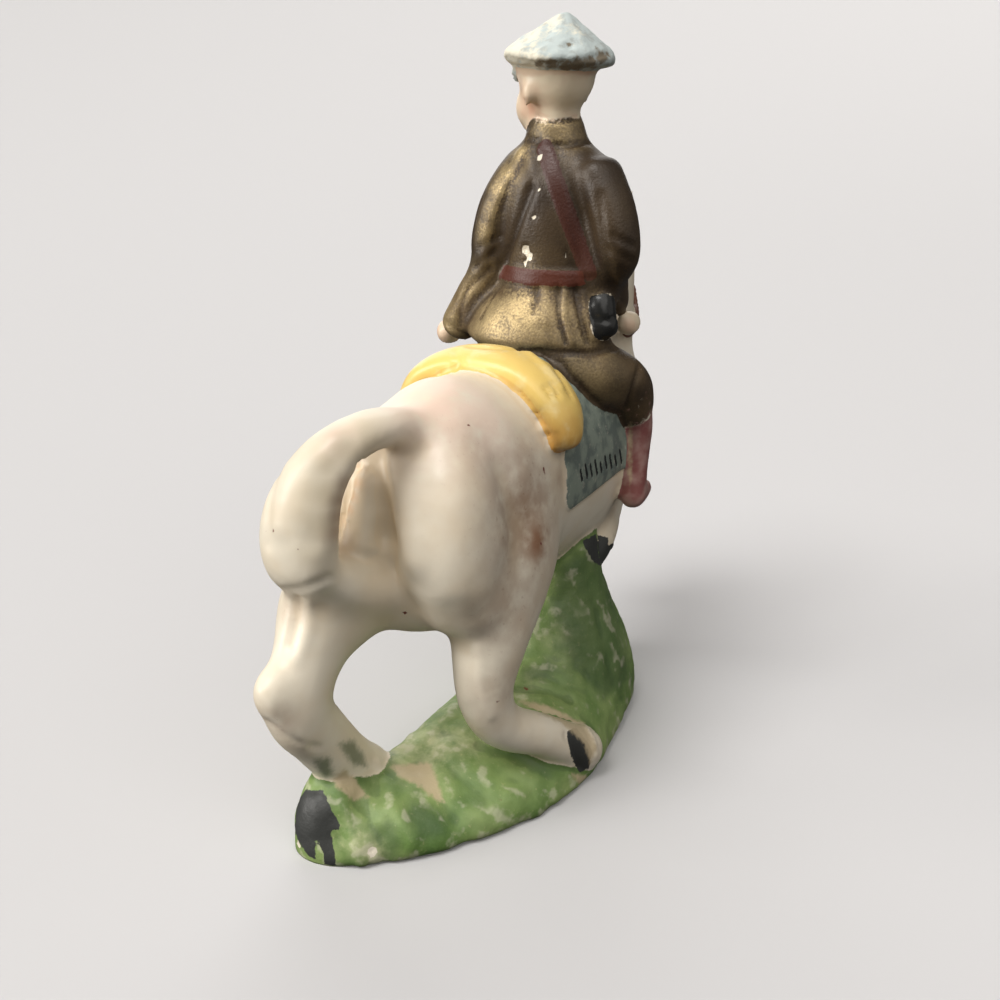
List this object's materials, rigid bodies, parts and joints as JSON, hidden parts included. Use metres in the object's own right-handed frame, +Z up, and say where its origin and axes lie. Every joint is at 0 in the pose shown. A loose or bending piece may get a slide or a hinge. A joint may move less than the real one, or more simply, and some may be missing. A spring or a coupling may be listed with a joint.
{
  "type": "mounted soldier figurine",
  "caption": "Small painted bisque figurine of a soldier on a prancing horse, cast in one piece with its grassy ground.",
  "frame": {"origin": "under the middle of the figurine's bounding box, on the plane that it stands on", "axes": "+Z up, the horse heads along -Y, the horse's left side is +X"},
  "size_m": [0.0478, 0.1146, 0.1268],
  "materials": {
    "painted_bisque": "unglazed bisque porcelain, cold painted, worn"
  },
  "bodies": {
    "root": {"figurine": "painted_bisque"}
  },
  "joints": []
}
